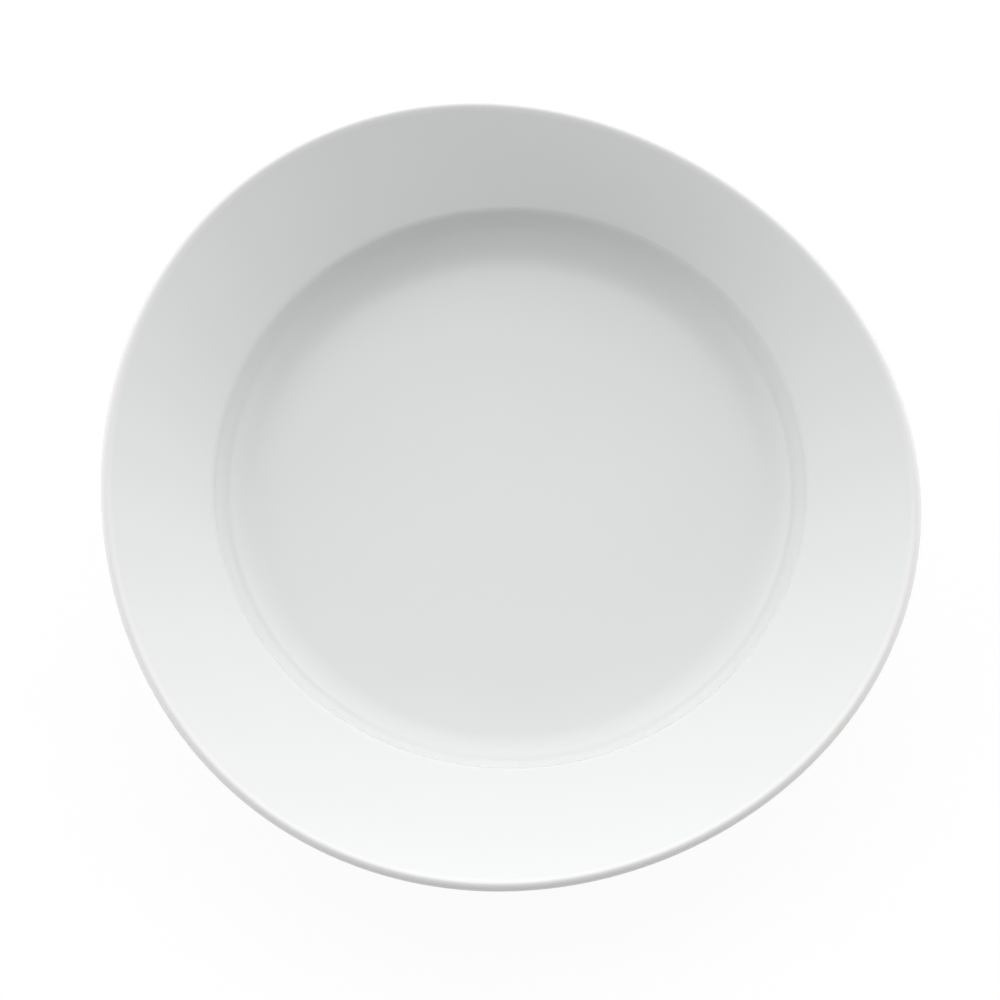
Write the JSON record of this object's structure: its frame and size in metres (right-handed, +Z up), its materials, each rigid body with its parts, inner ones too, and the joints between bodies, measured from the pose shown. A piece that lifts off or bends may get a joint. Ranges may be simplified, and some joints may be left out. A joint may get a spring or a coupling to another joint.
{
  "type": "rimmed soup plate",
  "caption": "Glazed porcelain soup plate with a round well, a wide rising rim with an off-round outline, and a foot ring with a bare edge.",
  "frame": {"origin": "middle of the outline's box, on the plane that the foot ring stands on", "axes": "+Z up out of the well, +Y to the back, -Y to the front where the rim is widest, +X to the right"},
  "size_m": [0.2296, 0.2356, 0.034],
  "materials": {
    "bare_porcelain": "fired porcelain, bare and matte on the edge of the foot ring",
    "clear_glaze": "glossy clear glaze over white porcelain, cool white",
    "base_glaze": "glossy clear glaze over white porcelain, a little thicker and cooler in the recess"
  },
  "bodies": {
    "root": {"porcelain_body": "bare_porcelain", "glaze_coat": "clear_glaze", "base_glaze": "base_glaze"}
  },
  "joints": []
}
